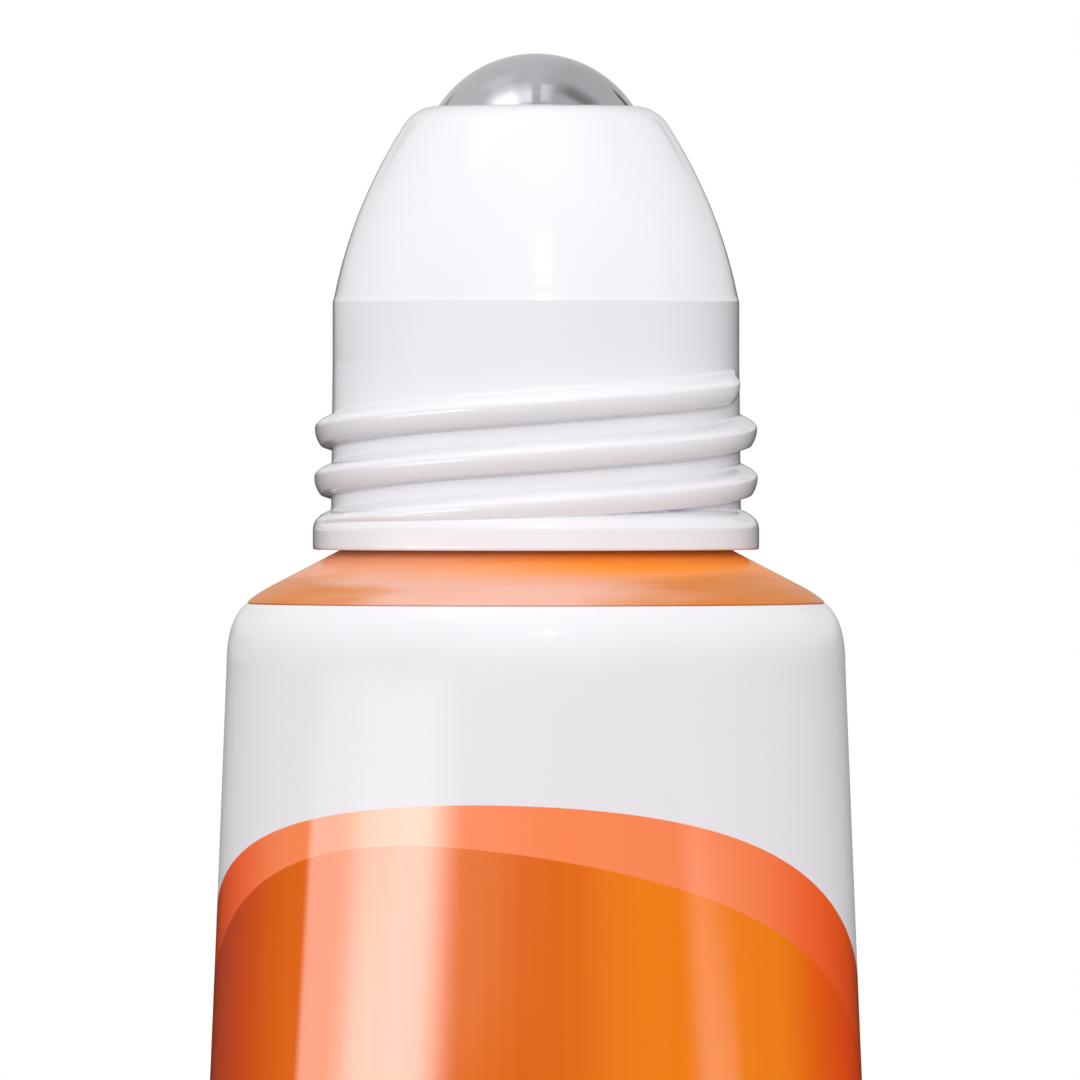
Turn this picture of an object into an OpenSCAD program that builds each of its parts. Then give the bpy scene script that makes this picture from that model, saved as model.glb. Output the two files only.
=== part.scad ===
// Roll-on squeeze tube with a steel ball, shown with its screw cap off.
// The tail's cut edge lies at Z 0, the ball is at the top, and the flat tail seal runs along X.

/* [Tube] */
// Outer diameter of the sleeve where it is still round
tube_d = 19; // [16:0.5:24]
// Length of the sleeve from the tail's cut edge to the shoulder's rounding
tube_len = 104; // [80:1:130]
// Wall of the sleeve
sleeve_t = 0.45; // [0.35:0.05:0.6]
// Height of the flat heat seal at the tail
seal_h = 6; // [4.5:0.5:9]

/* [Shoulder and neck] */
// Slope of the shoulder below the horizontal, in degrees
shoulder_angle = 27.5; // [20:0.5:35]
// Wall of the moulded shoulder
shoulder_t = 1.1; // [0.8:0.1:1.4]
// Outer diameter of the neck
neck_d = 9.7; // [9:0.1:10.2]
// Bore of the neck
neck_bore_d = 7.2; // [6.4:0.1:7.6]
// Height of the ball's centre above the mouth of the neck
seat_h = 6.05; // [5.8:0.05:6.5]

/* [Roller housing] */
// Diameter of the plain land that the cap's skirt runs over
land_d = 12.48; // [12:0.04:13.2]
// Diameter of the wall between the threads at the collar; it drafts up to the land
root_d = 12.58; // [12.1:0.04:13.3]
// Diameter over the thread crests
thread_d = 13.64; // [13.3:0.04:14.4]
// Diameter of the collar under the threads
collar_d = 13.7; // [13.4:0.05:14.6]
// Distance between neighbouring thread crests
thread_pitch = 1.5; // [1.3:0.05:1.7]
// Number of thread starts
thread_starts = 2; // [1:1:3]
// Height of the rim above the underside of the collar
rim_h = 13.6; // [13:0.1:15]
// Height of the dome's foot above the underside of the collar
dome_foot_h = 7.66; // [7.2:0.02:8.2]
// Radius of the dome's side, seen as an arc
dome_arc_r = 15.15; // [12:0.05:20]

/* [Ball] */
// Diameter of the steel ball
ball_d = 7.14; // [6.6:0.02:7.4]
// How far the ball stands above the rim
ball_proud = 1.62; // [1.3:0.02:1.9]

/* [Hidden] */
$fn = 96;
// One overrun for every cut that runs past a face
overrun = 1;

// Clearances: the running fit of the ball, the push fits, the shoulder under the housing
// and the seam between the sleeve and the shoulder
ball_gap = 0.05;
push_gap = 0.05;
seat_gap = 0.03;
weld_gap = 0.03;

// Shoulder: where its cone meets the plane of the collar's underside, and its rounding
cone_top_r = 5.99;
round_in = 1.4;
round_drop = 1.81;
round_pull_share = 0.78;
sleeve_edge_share = 0.3;
ledge_edge_share = 0.29;
round_steps = 8;
skirt_t = 0.8;

// Neck: the snap bead, the splines that stop the housing from turning, and the mouth
bead_proud = 0.2;
bead_drop = 1.7;
bead_len = 0.6;
bead_ramp = 0.5;
spline_count = 8;
spline_r = 0.3;
spline_foot_h = 0.4;
spline_drop = 1;
mouth_chamfer = 0.25;

// Sleeve: how its half depth falls from round to flat, and how its section turns boxy
sides = 60;
wall_steps = 16;
inner_step = 2;
early_share = 0.42;
seal_power_share = 0.35;
fold_gap = 0.1;

// Heat seal: plain margins, and the ribs between them
margin_h = 1.4;
rib_count = 5;
rib_depth = 0.08;
rib_edge_shares = [0.25, 0.75];

// Thread profile: crest, its corners, and the two flanks
crest_len = 0.3;
corner_drop = 0.1;
corner_len = 0.12;
upper_flank = 0.48;
lower_flank = 0.17;
thread_bury = 0.3;

// Thread path: the middle of the crest from its faded end down into the collar
thread_top_h = 4.97;
thread_low_h = 0.3;
thread_floor = 0.03;
thread_start_angle = -10;
fade_angle = 16;
steps_per_turn = 60;

// Collar and land, as heights above the collar's underside
collar_edge_h = 0.6;
collar_crown_h = 1;
collar_flank_h = 1.22;
collar_steps = 4;
land_foot_h = 5.75;
land_chamfer = 0.03;

// Rim: the rounded corner between the rim's face and the dome
rim_corner_r = 3.98;
rim_corner_drop = 0.47;
rim_pull_r = 3.62;
rim_pull_drop = 0.02;
rim_steps = 6;
dome_steps = 14;

// Ball seat: plug in the neck's bore, flange on the neck, and the cup under the ball
flange_t = 1;
plug_len = 2.4;
plug_t = 0.8;
plug_lead = 0.3;
feed_r = 1.1;
stem_t = 0.8;
cup_t = 0.48;
cup_rim_drop = 1.45;
cup_skirt_len = 0.7;
cup_floor_t = 0.55;
groove_count = 4;
groove_w = 0.6;
groove_d = 0.35;
gusset_count = 6;
gusset_t = 0.6;
gusset_bury = 0.3;
gusset_in = 0.45;

// Inside of the housing, as drops below the ball's centre
bore_drop = 1.35;
cup_bore_drop = 2.45;
chamber_drop = 3.45;

// Derived sizes
tube_r = tube_d / 2;
ball_r = ball_d / 2;
land_r = land_d / 2;
root_r = root_d / 2;
crest_r = thread_d / 2;
collar_r = collar_d / 2;
neck_r = neck_d / 2;
neck_bore_r = neck_bore_d / 2;
bead_r = neck_r + bead_proud;
neck_hole_r = neck_r + push_gap;
seal_half_t = sleeve_t;
slope = tan(shoulder_angle);
corner_drop_z = (tube_r - cone_top_r) * slope;
collar_z = tube_len + round_drop + corner_drop_z;
ball_h = rim_h + ball_proud - ball_r;
neck_h = ball_h - seat_h;
bead_h = neck_h - bead_drop;
spline_top_h = bead_h - spline_drop;
socket_r = ball_r + ball_gap;
lip_angle = asin((rim_h - ball_h) / socket_r);
cup_r = ball_r + cup_t;
tube_girth = 2 * PI * tube_r;
lead = thread_pitch * thread_starts;

function mix(a, b, share) = a + (b - a) * share;
function unit(v) = v / norm(v);

// A cubic curve through four points, and the direction that points out of it
function curve(p, s) =
    pow(1 - s, 3) * p[0] + 3 * pow(1 - s, 2) * s * p[1]
    + 3 * (1 - s) * pow(s, 2) * p[2] + pow(s, 3) * p[3];
function curve_side(p, s) =
    let (d = unit(pow(1 - s, 2) * (p[1] - p[0]) + 2 * (1 - s) * s * (p[2] - p[1])
        + pow(s, 2) * (p[3] - p[2])))
    [-d[1], d[0]];

// Points along a bend from a to b, drawn towards a pull point
function bend(a, pull, b, steps) =
    [for (i = [0:steps]) let (s = i / steps)
        pow(1 - s, 2) * a + 2 * (1 - s) * s * pull + pow(s, 2) * b];

// Points of an arc about a centre, from one angle to another
function arc(centre, r, from, to, steps) =
    [for (i = [0:steps]) let (t = mix(from, to, i / steps)) centre + r * [cos(t), sin(t)]];

// The rounding from the shoulder's cone into the sleeve, as [radius, height]
corner = [tube_r, tube_len + round_drop];
round_start = corner + [-round_in, round_in * slope];
round_end = [tube_r, tube_len];
rounding = [round_start, mix(round_start, corner, round_pull_share),
    mix(round_end, corner, round_pull_share), round_end];
function round_at(s, inset) = curve(rounding, s) - inset * curve_side(rounding, s);
function cone_z(r) = collar_z + (cone_top_r - r) * slope;

// The girth of an oval, and the half width that keeps the tube's girth at a half depth
function oval_girth(a, b) = PI * (3 * (a + b) - sqrt((3 * a + b) * (a + 3 * b)));
function half_width(half_d, low, high, turn = 0) =
    let (middle = (low + high) / 2)
    turn == 24 ? middle
        : oval_girth(middle, half_d) < tube_girth
            ? half_width(half_d, middle, high, turn + 1)
            : half_width(half_d, low, middle, turn + 1);

// Half depth and squareness at a share of the way down from the round end to the seal.
// The wall leaves the round end at a slant and closes faster towards the seal.
function half_depth(s) =
    mix(tube_r, seal_half_t, early_share * s + (1 - early_share) * pow(s, 2.5));
function section_power(s) = mix(1, seal_power_share, pow(s, 4));
function signed_power(v, e) = sign(v) * pow(abs(v), e);

// One ring of the sleeve: an oval whose long sides flatten as its power falls below 1
function ring(half_w, half_d, power, z) =
    [for (j = [0:sides - 1]) let (a = 360 * j / sides)
        [half_w * cos(a), half_d * signed_power(sin(a), power), z]];
function wall_ring(s, inset) =
    let (d = half_depth(s), w = half_width(d, tube_r, 2 * tube_r))
    ring(w - inset, max(d - inset, fold_gap / 2), section_power(s), mix(tube_len, seal_h, s));
function round_ring(s, inset) =
    let (p = round_at(s, inset)) ring(p[0], p[0], 1, p[1]);
function seal_ring(z, inset) =
    ring(half_width(seal_half_t, tube_r, 2 * tube_r), seal_half_t - inset, seal_power_share, z);

// A closed skin over rings of equal length, with a flat cap on the first and the last.
// Each ring runs counter-clockwise as seen from the ring after it.
module skin(rings) {
    n = len(rings[0]);
    last = (len(rings) - 1) * n;
    walls = [for (i = [0:len(rings) - 2], j = [0:n - 1])
        let (a = i * n + j, b = i * n + (j + 1) % n) each [[a, a + n, b], [b, a + n, b + n]]];
    polyhedron(points = [for (r = rings) each r],
        faces = concat([[for (j = [0:n - 1]) j]], walls, [[for (j = [n - 1:-1:0]) last + j]]),
        convexity = 4);
}

module tube_sleeve() {
    rib_zone = seal_h - 2 * margin_h;
    function edge_share(i) = mix(sleeve_edge_share, 1, i / round_steps);
    ribs = [for (i = [0:rib_count - 1], k = rib_edge_shares)
        seal_ring(margin_h + rib_zone * (i + k) / rib_count,
            k == rib_edge_shares[0] ? rib_depth : 0)];
    seal = concat([seal_ring(0, 0), seal_ring(margin_h, 0)], ribs,
        [seal_ring(seal_h - margin_h / 2, 0)]);
    outer = concat([for (i = [wall_steps:-1:0]) wall_ring(i / wall_steps, 0)],
        [for (i = [round_steps - 1:-1:0]) round_ring(edge_share(i), 0)]);
    inner = concat([for (i = [0:inner_step:round_steps]) round_ring(edge_share(i), sleeve_t)],
        [for (i = [inner_step:inner_step:wall_steps]) wall_ring(i / wall_steps, sleeve_t)]);
    color("darkorange") skin(concat(seal, outer, inner));
}

module tube_shoulder() {
    skirt_r = tube_r - sleeve_t - weld_gap - skirt_t;
    cone_drop = shoulder_t / cos(shoulder_angle);
    neck_z = collar_z + neck_h;
    bead_z = collar_z + bead_h;
    neck_side = [[neck_bore_r, neck_z], [neck_r - mouth_chamfer, neck_z],
        [neck_r, neck_z - mouth_chamfer], [neck_r, bead_z + bead_len],
        [bead_r, bead_z + bead_len - bead_ramp], [bead_r, bead_z], [neck_r, bead_z]];
    shown = [for (i = [0:round_steps / 2]) round_at(ledge_edge_share * 2 * i / round_steps, 0)];
    under_sleeve = [for (i = [0:round_steps])
        round_at(mix(ledge_edge_share, 1, i / round_steps), sleeve_t + weld_gap)];
    inside = [[skirt_r, tube_len], [skirt_r, cone_z(skirt_r) - cone_drop],
        [neck_bore_r, cone_z(neck_bore_r) - cone_drop]];
    color("orange") union() {
        rotate_extrude()
            polygon(concat(neck_side, [[neck_r, cone_z(neck_r)]], shown, under_sleeve, inside));
        for (i = [0:spline_count - 1]) rotate(360 * i / spline_count)
            translate([neck_r, 0, collar_z + spline_foot_h])
                cylinder(r = spline_r, h = spline_top_h - spline_foot_h, $fn = 32);
    }
}

// Centre of the dome's arc through two points, on the axis's side of them
function dome_centre(a, b) =
    let (d = b - a, reach = sqrt(pow(dome_arc_r, 2) - pow(norm(d) / 2, 2)))
    (a + b) / 2 + reach * unit([-d[1], d[0]]);
function dome_points(a, b) =
    let (c = dome_centre(a, b))
    arc(c, dome_arc_r, atan2(a[1] - c[1], a[0] - c[0]), atan2(b[1] - c[1], b[0] - c[0]), dome_steps);

// One thread start, swept up out of the collar to its faded end
module thread_start() {
    turns = (thread_top_h - thread_low_h) / lead;
    steps = ceil(turns * steps_per_turn);
    half_crest = crest_len / 2;
    base_up = half_crest + corner_len + upper_flank;
    base_down = half_crest + corner_len + lower_flank;
    inner_r = root_r - thread_bury;
    function section(top_r, side_r) =
        let (foot_r = min(root_r, side_r) - corner_drop)
        [[inner_r, base_up], [foot_r, base_up], [side_r, half_crest + corner_len],
            [top_r, half_crest], [top_r, -half_crest], [side_r, -half_crest - corner_len],
            [foot_r, -base_down], [inner_r, -base_down]];
    rings = [for (i = [steps:-1:0])
        let (share = i / steps, down = 360 * turns * share, grown = min(1, down / fade_angle),
            top_r = mix(root_r - thread_bury / 2, crest_r, sin(90 * grown)),
            h = mix(thread_top_h, thread_low_h, share), a = thread_start_angle - down)
        [for (p = section(top_r, top_r - corner_drop * grown))
            [p[0] * cos(a), p[0] * sin(a), collar_z + max(thread_floor, h + p[1])]]];
    skin(rings);
}

module roller_housing() {
    mouth_r = cone_top_r + seat_gap;
    groove_r = bead_r + push_gap;
    cup_bore_r = cup_r + push_gap;
    rim_corner = [rim_corner_r, rim_h - rim_corner_drop];
    lip = [socket_r * cos(lip_angle), rim_h];
    collar = concat([[collar_r, 0]], bend([collar_r, collar_edge_h],
        [collar_r, collar_crown_h], [root_r, collar_flank_h], collar_steps));
    land = [[land_r, land_foot_h], [land_r, dome_foot_h - land_chamfer]];
    dome = dome_points([land_r - land_chamfer, dome_foot_h], rim_corner);
    rim = bend(rim_corner, [rim_pull_r, rim_h - rim_pull_drop], lip, rim_steps);
    socket = arc([0, ball_h], socket_r, lip_angle, 0, rim_steps);
    inside = [[socket_r, ball_h - bore_drop], [cup_bore_r, ball_h - bore_drop],
        [cup_bore_r, ball_h - cup_bore_drop], [neck_hole_r, ball_h - chamber_drop],
        [neck_hole_r, bead_h + bead_len + push_gap], [groove_r, bead_h + bead_len],
        [groove_r, bead_h - push_gap], [neck_hole_r, bead_h - push_gap],
        [neck_hole_r, (mouth_r - neck_hole_r) * slope], [mouth_r, 0]];
    function after_first(list) = [for (i = [1:len(list) - 1]) list[i]];
    color("white") difference() {
        union() {
            translate([0, 0, collar_z]) rotate_extrude()
                polygon(concat(collar, land, dome, after_first(rim), after_first(socket), inside));
            for (i = [0:thread_starts - 1]) rotate(360 * i / thread_starts) thread_start();
        }
        for (i = [0:spline_count - 1]) rotate(360 * i / spline_count)
            translate([neck_r, 0, collar_z - overrun])
                cylinder(r = spline_r + push_gap, h = spline_top_h + push_gap + overrun, $fn = 32);
    }
}

module ball_seat() {
    plug_r = neck_bore_r - push_gap;
    flange_r = neck_hole_r - push_gap;
    flange_h = neck_h + flange_t;
    stem_r = feed_r + stem_t;
    cup_foot_h = ball_h - socket_r - cup_floor_t;
    cup_rim_h = ball_h - cup_rim_drop;
    cup_side_h = cup_rim_h - cup_skirt_len;
    plug = [[0, flange_h], [0, neck_h], [plug_r - plug_t, neck_h],
        [plug_r - plug_t, neck_h - plug_len], [plug_r - plug_lead, neck_h - plug_len],
        [plug_r, neck_h - plug_len + plug_lead], [plug_r, neck_h], [flange_r, neck_h],
        [flange_r, flange_h]];
    cup = [[0, cup_foot_h], [stem_r, cup_foot_h], [cup_r, cup_side_h], [cup_r, cup_rim_h],
        [0, cup_rim_h]];
    color("gainsboro") translate([0, 0, collar_z]) difference() {
        union() {
            rotate_extrude() polygon(plug);
            rotate_extrude() polygon(cup);
            translate([0, 0, neck_h]) cylinder(r = stem_r, h = cup_side_h - neck_h);
            for (i = [0:gusset_count - 1]) rotate([90, 0, 360 * i / gusset_count])
                linear_extrude(gusset_t, center = true) polygon([
                    [stem_r - gusset_bury, flange_h - gusset_bury],
                    [flange_r - gusset_in, flange_h - gusset_bury],
                    [flange_r - gusset_in, flange_h], [cup_r - gusset_in, cup_side_h],
                    [stem_r - gusset_bury, cup_side_h]]);
        }
        translate([0, 0, ball_h]) sphere(r = socket_r);
        translate([0, 0, neck_h - overrun]) cylinder(r = feed_r, h = seat_h + overrun);
        for (i = [0:groove_count - 1]) rotate(360 * i / groove_count) intersection() {
            translate([0, 0, ball_h]) sphere(r = socket_r + groove_d);
            translate([0, -groove_w / 2, cup_foot_h]) cube([cup_r, groove_w, ball_r]);
        }
    }
}

module roller_ball() {
    color("silver") translate([0, 0, collar_z + ball_h]) sphere(r = ball_r);
}

tube_sleeve();
tube_shoulder();
roller_housing();
ball_seat();
roller_ball();
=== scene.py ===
"""Dressed model of a roll-on squeeze tube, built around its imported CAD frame.

Lengths are in metres in the frame's own place: the tail's cut edge lies at Z 0, the ball is at the
top, and -Y is the front. Heights of the roller head are counted from the underside of its collar.
"""

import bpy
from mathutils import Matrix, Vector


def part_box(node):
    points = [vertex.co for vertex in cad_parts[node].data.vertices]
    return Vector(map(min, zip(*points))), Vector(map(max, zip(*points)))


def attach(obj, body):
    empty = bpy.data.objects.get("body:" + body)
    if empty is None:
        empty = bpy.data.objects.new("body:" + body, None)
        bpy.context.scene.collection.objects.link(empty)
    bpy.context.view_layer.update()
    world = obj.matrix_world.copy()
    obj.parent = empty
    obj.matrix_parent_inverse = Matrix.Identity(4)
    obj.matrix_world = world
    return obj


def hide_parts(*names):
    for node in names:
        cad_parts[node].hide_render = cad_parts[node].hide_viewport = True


bl_info = {
    "name": "Roll-on Squeeze Tube",
    "version": (1, 0, 0),
    "blender": (4, 5, 0),
    "location": "View3D > Sidebar > Roll-on Tube",
    "description": "Builds a squeeze tube with a roller head around its CAD frame",
    "category": "Object",
}

import math

import bmesh
import bpy
import numpy as np
from bpy.props import FloatProperty, FloatVectorProperty, IntProperty, PointerProperty
from bpy.types import Operator, Panel, PropertyGroup
from mathutils import Vector

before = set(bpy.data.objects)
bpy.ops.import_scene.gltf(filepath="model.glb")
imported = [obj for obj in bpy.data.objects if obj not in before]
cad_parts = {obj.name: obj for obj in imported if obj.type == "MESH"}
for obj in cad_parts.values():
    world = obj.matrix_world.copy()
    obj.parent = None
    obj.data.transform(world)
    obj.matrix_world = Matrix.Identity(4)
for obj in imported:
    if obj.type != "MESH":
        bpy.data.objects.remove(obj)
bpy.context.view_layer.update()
SLEEVE_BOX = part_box("tube_sleeve")
SHOULDER_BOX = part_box("tube_shoulder")
HEAD_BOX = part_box("roller_housing")
BALL_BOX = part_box("roller_ball")
COLLAR_Z = HEAD_BOX[0].z
BALL_Z = (BALL_BOX[0].z + BALL_BOX[1].z) / 2
BALL_R = (BALL_BOX[1].z - BALL_BOX[0].z) / 2

MM = 0.001


def length_mm(name, description, default):
    """A length property, from its default in millimetres."""
    return FloatProperty(name=name, description=description, default=default * MM,
                         min=0.0, soft_max=0.2, unit="LENGTH", precision=5)


def share(name, description, default):
    """A property for a share between nothing and all."""
    return FloatProperty(name=name, description=description, default=default,
                         min=0.0, max=1.0, subtype="FACTOR")


def paint(name, description, default):
    """A colour property, from its default in linear red, green and blue."""
    return FloatVectorProperty(name=name, description=description, default=default,
                               size=3, min=0.0, max=1.0, subtype="COLOR")


def angle_deg(name, description, degrees):
    """An angle property, from its default in degrees."""
    return FloatProperty(name=name, description=description, default=math.radians(degrees),
                         subtype="ANGLE")


def power_w(name, description, default):
    """A property for a lamp's power in watts."""
    return FloatProperty(name=name, description=description, default=default, min=0.0,
                         unit="POWER")


def whole(name, description, default, most):
    """A property for a number of like features."""
    return IntProperty(name=name, description=description, default=default, min=1, max=most)


class TubeSizes(PropertyGroup):
    """Sizes of the sleeve and of the shoulder that it is welded to."""

    radius: length_mm("Tube radius", "Outer radius where the sleeve is round",
                      SLEEVE_BOX[1].y / MM)
    round_end: length_mm("Round end", "Height at which the sleeve starts to flatten",
                         SHOULDER_BOX[0].z / MM)
    wall: length_mm("Sleeve wall", "Thickness of the sleeve", 0.45)
    seal_height: length_mm("Seal height", "Height of the flat heat seal", 6)
    early_share: share("Early taper", "Share of the flattening that is spread evenly", 0.42)
    boxiness: share("Seal flatness", "Power of the section's depth at the seal", 0.35)
    rib_count: whole("Seal ribs", "Pressed lines across the seal", 5, 12)
    rib_depth: length_mm("Rib depth", "How deep the seal's lines are pressed", 0.08)
    shoulder_angle: angle_deg("Shoulder angle", "Slope of the shoulder", 27.5)
    shoulder_wall: length_mm("Shoulder wall", "Thickness of the shoulder", 1.1)
    neck_radius: length_mm("Neck radius", "Outer radius of the neck", 4.85)
    neck_bore: length_mm("Neck bore", "Inner radius of the neck", 3.6)
    neck_height: length_mm("Neck height", "Mouth of the neck above the collar's underside", 5.6)


class HeadSizes(PropertyGroup):
    """Sizes of the roller head."""

    collar_radius: length_mm("Collar radius", "Outer radius of the collar", HEAD_BOX[1].x / MM)
    root_radius: length_mm("Root radius", "Radius between the threads at the collar", 6.29)
    land_radius: length_mm("Land radius", "Radius of the plain land above the threads", 6.24)
    crest_radius: length_mm("Crest radius", "Radius of the thread's crest at the collar", 6.83)
    pitch: length_mm("Pitch", "Distance between neighbouring crests", 1.5)
    starts: whole("Starts", "Number of thread starts", 2, 4)
    thread_top: length_mm("Thread top", "Height of the crest's faded end", 5.06)
    start_angle: angle_deg("Start angle", "Where the first thread starts", -7)
    fade_angle: angle_deg("Fade angle", "Turn over which a thread fades in", 21)
    dome_foot: length_mm("Dome foot", "Height of the fine line under the dome", 7.66)
    dome_arc: length_mm("Dome arc", "Radius of the dome's side, seen as an arc", 15.15)


class PrintColours(PropertyGroup):
    """Colours of the print and of the plastics."""

    white: paint("White print", "Top of the sleeve", (0.77, 0.745, 0.78))
    coral: paint("Coral band", "Band between the white and the orange", (1.0, 0.25, 0.09))
    orange: paint("Foil orange", "Metallic field", (1.0, 0.225, 0.002))
    shoulder: paint("Shoulder", "Pearl orange plastic", (0.92, 0.28, 0.033))
    # The pearl colour is the painted highlight of the shoulder's paler fans
    pearl: paint("Pearl", "Paler fans on the shoulder", (0.78, 0.43, 0.34))
    head: paint("Head", "White plastic", (0.805, 0.785, 0.825))
    seat: paint("Ball seat", "Milky plastic", (0.8, 0.79, 0.76))
    steel: paint("Steel", "Polished ball", (0.74, 0.713, 0.757))
    floor: paint("Floor", "Pale floor of the studio", (0.74, 0.74, 0.74))


class StudioSettings(PropertyGroup):
    """Light and camera."""

    front_power: power_w("Front lamp", "Power of the large front lamp", 11.0)
    back_power: power_w("Back lamps", "Power of the lamps behind", 6.0)
    side_power: power_w("Side lamps", "Power of the lamps at the sides", 5.0)
    top_power: power_w("Top lamp", "Power of the lamp above", 1.9)
    ambience: FloatProperty(name="Ambience", description="Even light from all round",
                            default=0.5, min=0.0)
    lens: FloatProperty(name="Lens", description="Focal length in millimetres", default=533.3,
                        min=1.0, subtype="NONE")
    camera_place: FloatVectorProperty(name="Camera", description="Place of the camera",
                                      default=(0.000123, -0.491, 0.110998), size=3,
                                      subtype="XYZ", unit="LENGTH", precision=6)
    camera_tilt: angle_deg("Tilt", "How far the camera looks down", 0.358)


def sign(operation, swapped=False):
    """A method that adds the math node for a sign between a Value and another number."""
    def method(self, other):
        first, second = (other, self) if swapped else (self, other)
        return self.maker.math(operation, first, second)
    return method


class Value:
    """A number that nodes work out. Plain signs on it add the nodes of a formula."""

    def __init__(self, maker, socket):
        self.maker, self.socket = maker, socket

    __add__ = __radd__ = sign("ADD")
    __sub__, __rsub__ = sign("SUBTRACT"), sign("SUBTRACT", swapped=True)
    __mul__ = __rmul__ = sign("MULTIPLY")
    __truediv__, __rtruediv__ = sign("DIVIDE"), sign("DIVIDE", swapped=True)
    __gt__, __lt__ = sign("GREATER_THAN"), sign("LESS_THAN")


class NodeMaker:
    """Adds nodes to a tree, with Values for its numbers."""

    def __init__(self, tree):
        self.tree = tree
        tree.nodes.clear()

    def add(self, kind, **settings):
        node = self.tree.nodes.new(kind)
        for key, value in settings.items():
            setattr(node, key, value)
        return node

    def feed(self, socket, value):
        """Links a socket to another, or writes a plain value on it. Colours get their alpha."""
        if isinstance(value, Value):
            value = value.socket
        if isinstance(value, bpy.types.NodeSocket):
            self.tree.links.new(value, socket)
        elif value is not None:
            socket.default_value = (*value, 1.0) if socket.type == "RGBA" else value

    def fill(self, kind, *values, **settings):
        """Adds a node, feeds its inputs in order and gives its first output."""
        node = self.add(kind, **settings)
        for socket, value in zip(node.inputs, values):
            self.feed(socket, value)
        return node.outputs[0]

    def named(self, kind, **values):
        """Adds a node, and feeds its inputs by their names, with _ for a space."""
        node = self.add(kind)
        for key, value in values.items():
            self.feed(node.inputs[key.replace("_", " ")], value)
        return node

    def surface(self, **values):
        """Ends a material in a Principled shader."""
        shader = self.named("ShaderNodeBsdfPrincipled", **values)
        self.named("ShaderNodeOutputMaterial", Surface=shader.outputs[0])

    def math(self, operation, *values):
        return Value(self, self.fill("ShaderNodeMath", *values, operation=operation))

    def positive(self, value):
        """A number, or 0 where it is negative."""
        return self.math("MAXIMUM", 0.0, value)

    def radius(self, x, y):
        """Distance from the tube's axis."""
        return self.math("SQRT", x * x + y * y)

    def ramp(self, value, low, high, start=0.0, end=1.0):
        """A value's way from low to high, as a smooth step between start and end."""
        return Value(self, self.fill("ShaderNodeMapRange", value, low, high, start, end,
                                     interpolation_type="SMOOTHSTEP"))

    def split(self, vector):
        node = self.add("ShaderNodeSeparateXYZ")
        self.feed(node.inputs[0], vector)
        return [Value(self, part) for part in node.outputs]

    def join(self, x, y, z):
        return self.fill("ShaderNodeCombineXYZ", x, y, z)

    def stretch(self, vector, scale):
        return self.fill("ShaderNodeVectorMath", vector, scale, operation="MULTIPLY")

    def object_place(self):
        """The place on a piece that a material colours."""
        return self.add("ShaderNodeTexCoord").outputs["Object"]

    def point_place(self):
        """The place of the point that a shape tree moves, as three numbers."""
        return self.split(self.add("GeometryNodeInputPosition").outputs[0])

    def noise(self, vector, scale, detail=3.0, roughness=0.5):
        return Value(self, self.named("ShaderNodeTexNoise", Vector=vector, Scale=scale,
                                      Detail=detail, Roughness=roughness).outputs[0])

    def blend(self, factor, first, second):
        """A mix of two colours."""
        node = self.add("ShaderNodeMix", data_type="RGBA")
        for index, value in ((0, factor), (6, first), (7, second)):
            self.feed(node.inputs[index], value)
        return node.outputs[2]

    def bump(self, height, strength, distance):
        return self.named("ShaderNodeBump", Height=height, Strength=strength,
                          Distance=distance).outputs["Normal"]

    def moved(self, mesh, place, chosen=None):
        """A mesh with its points, or the chosen ones, in new places."""
        return self.named("GeometryNodeSetPosition", Geometry=mesh, Selection=chosen,
                          Position=place).outputs[0]


def darker(colour, share):
    """A share of a colour's light."""
    return tuple(share * channel for channel in colour)


def new_material(name):
    """A material and the maker of its nodes."""
    material = bpy.data.materials.new(name)
    material.use_nodes = True
    return material, NodeMaker(material.node_tree)


def in_scene(name, data):
    """An object in the scene that holds a mesh, a lamp or a camera."""
    made = bpy.data.objects.new(name, data)
    bpy.context.scene.collection.objects.link(made)
    return made


def grid_mesh(name, rings, capped=True):
    """A closed mesh over rings of points that run counter-clockwise and upwards on the outside."""
    count, around = rings.shape[:2]
    index = np.arange(count * around).reshape(count, around)
    rows = index if capped else np.vstack([index, index[:1]])
    low, high = rows[:-1], rows[1:]
    faces = np.stack([low, np.roll(low, -1, 1), np.roll(high, -1, 1), high], -1)
    faces = faces.reshape(-1, 4).tolist()
    if capped:
        faces += [index[0][::-1].tolist(), index[-1].tolist()]
    mesh = bpy.data.meshes.new(name)
    mesh.from_pydata(rings.reshape(-1, 3).tolist(), [], faces)
    mesh.validate()
    return mesh


def lathe(name, outline, around):
    """A closed mesh of revolution from a closed outline of (radius, height)."""
    outline = np.array(outline, float)
    turn = np.arange(around) * 2 * math.pi / around
    rings = np.stack([outline[:, :1] * np.cos(turn), outline[:, :1] * np.sin(turn),
                      np.repeat(outline[:, 1:], around, 1)], -1)
    return grid_mesh(name, rings, capped=False)


def finished(mesh, material, sharp_angle=35):
    """An object for a mesh that is smooth but for its sharp edges, once it is seen to be closed."""
    work = bmesh.new()
    work.from_mesh(mesh)
    closed = all(edge.is_manifold for edge in work.edges)
    volume = work.calc_volume(signed=True)
    work.free()
    if not closed or volume <= 0:
        raise RuntimeError(f"{mesh.name} is open or inside out: {closed}, {volume}")
    mesh.shade_smooth()
    mesh.set_sharp_from_angle(angle=math.radians(sharp_angle))
    mesh.materials.clear()
    mesh.materials.append(material)
    return in_scene(mesh.name, mesh)


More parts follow.
